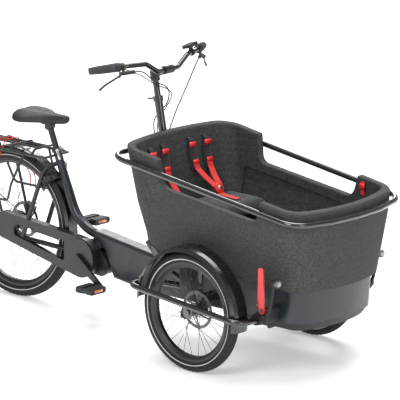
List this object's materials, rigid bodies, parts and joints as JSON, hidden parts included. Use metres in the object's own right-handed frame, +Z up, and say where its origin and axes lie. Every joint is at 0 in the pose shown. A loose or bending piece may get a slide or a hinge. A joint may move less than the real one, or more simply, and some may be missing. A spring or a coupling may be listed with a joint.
{
  "type": "cargo_tricycle",
  "caption": "Cargo bicycle with a foam load box between two front wheels, steered as one unit, with rear rack, saddle and mid motor.",
  "frame": {"origin": "middle of the length and width, on the ground", "axes": "+X forward, +Y to the rider's left, +Z up; all three wheels stand on Z = 0"},
  "size_m": [2.2855, 0.905, 1.2312],
  "materials": {
    "frame_paint": "satin dark slate",
    "black_metal": "gloss black",
    "rack_paint": "satin black green",
    "foam": "moulded bead foam, dark charcoal",
    "plastic": "textured black",
    "gloss": "gloss black",
    "tyre": "black",
    "rim_black": "satin black",
    "spoke_steel": "black steel",
    "steel": "brushed",
    "silver": "satin",
    "red_paint": "red",
    "red_plastic": "red",
    "webbing": "black webbing",
    "saddle_skin": "dark grey cover",
    "grip_rubber": "soft dark grey",
    "cord": "black sheath",
    "wood": "padded dark cushion",
    "lens": "red lens"
  },
  "bodies": {
    "rear_frame": {"main_frame": "frame_paint", "rear_triangle": "black_metal", "motor_unit": "plastic", "chaincase": "gloss", "chain": "steel", "rear_mudguard": "gloss", "rear_rack": "rack_paint", "rack_straps": "red_plastic", "ring_lock": "plastic", "tail_light": "lens", "rear_caliper": "plastic", "seat_clamp": "black_metal"},
    "seat": {"seat_post": "black_metal", "saddle_rails": "black_metal", "saddle_top": "saddle_skin"},
    "seat_lever": {"seat_lever": "silver"},
    "cranks": {"crank_set": "black_metal"},
    "pedal_right": {"pedal_right": "plastic"},
    "pedal_left": {"pedal_left": "plastic"},
    "rear_wheel": {"rear_tyre": "tyre", "rear_rim": "rim_black", "rear_spokes": "spoke_steel", "rear_hub": "steel"},
    "front_unit": {"box_shell": "foam", "bench": "wood", "harness_straps": "webbing", "harness_pads": "webbing", "harness_buckles": "red_plastic", "rear_plate": "frame_paint", "front_chassis": "black_metal", "kingpin": "steel", "lower_shell": "frame_paint", "under_tray": "plastic", "arch_liners": "plastic", "bumpers": "black_metal", "bumper_mounts": "plastic", "fenders": "gloss", "front_lamps": "silver", "front_calipers": "plastic", "handrail": "black_metal", "steer_column": "frame_paint", "stem": "black_metal", "handlebar": "black_metal", "grips": "grip_rubber", "brake_bodies": "plastic", "cables": "cord", "bar_controls": "plastic", "front_bolts": "steel"},
    "front_wheel_right": {"front_tyre_right": "tyre", "front_rim_right": "rim_black", "front_spokes_right": "spoke_steel", "front_hub_right": "steel"},
    "front_wheel_left": {"front_tyre_left": "tyre", "front_rim_left": "rim_black", "front_spokes_left": "spoke_steel", "front_hub_left": "steel"},
    "brake_lever_right": {"brake_lever_right": "black_metal"},
    "brake_lever_left": {"brake_lever_left": "black_metal"},
    "shifter": {"shifter": "plastic"},
    "lock_lever": {"lock_lever": "red_paint"}
  },
  "joints": [
    {"name": "steering", "type": "hinge", "parent": "rear_frame", "child": "front_unit", "pos_m": [0.5635, 0, 0.224], "axis": [0, 0, 1], "range_deg": [-28, 28]},
    {"name": "front_wheel_right", "type": "hinge", "parent": "front_unit", "child": "front_wheel_right", "pos_m": [0.5635, -0.377, 0.254], "axis": [0, 1, 0], "continuous": true},
    {"name": "front_wheel_left", "type": "hinge", "parent": "front_unit", "child": "front_wheel_left", "pos_m": [0.5635, 0.377, 0.254], "axis": [0, 1, 0], "continuous": true},
    {"name": "rear_wheel", "type": "hinge", "parent": "rear_frame", "child": "rear_wheel", "pos_m": [-0.8025, 0, 0.333], "axis": [0, 1, 0], "continuous": true},
    {"name": "cranks", "type": "hinge", "parent": "rear_frame", "child": "cranks", "pos_m": [-0.3485, 0, 0.264], "axis": [0, 1, 0], "continuous": true},
    {"name": "pedal_right", "type": "hinge", "parent": "cranks", "child": "pedal_right", "pos_m": [-0.21097, -0.15, 0.16408], "axis": [0, 1, 0], "continuous": true},
    {"name": "pedal_left", "type": "hinge", "parent": "cranks", "child": "pedal_left", "pos_m": [-0.48603, 0.15, 0.36392], "axis": [0, 1, 0], "continuous": true},
    {"name": "seat_height", "type": "slide", "parent": "rear_frame", "child": "seat", "axis": [-0.379, 0, 0.9254], "range_m": [0, 0.12]},
    {"name": "seat_lever", "type": "hinge", "parent": "rear_frame", "child": "seat_lever", "pos_m": [-0.53437, 0, 0.697], "axis": [0, -1, 0], "range_deg": [0, 100]},
    {"name": "brake_lever_right", "type": "hinge", "parent": "front_unit", "child": "brake_lever_right", "pos_m": [0.05925, -0.26167, 1.15042], "axis": [-0.6435, 0.4575, -0.6137], "range_deg": [0, 16], "stiffness_Nm_per_rad": 0.6},
    {"name": "brake_lever_left", "type": "hinge", "parent": "front_unit", "child": "brake_lever_left", "pos_m": [0.05925, 0.26167, 1.15042], "axis": [0.6435, 0.4575, 0.6137], "range_deg": [0, 16], "stiffness_Nm_per_rad": 0.6},
    {"name": "shift_ring", "type": "hinge", "parent": "front_unit", "child": "shifter", "pos_m": [0.0359, -0.25142, 1.18254], "axis": [-0.5255, -0.847, -0.0804], "range_deg": [0, 120]},
    {"name": "lock_lever", "type": "hinge", "parent": "front_unit", "child": "lock_lever", "pos_m": [0.9115, -0.336, 0.313], "axis": [0, 1, 0], "range_deg": [-35, 0]}
  ]
}
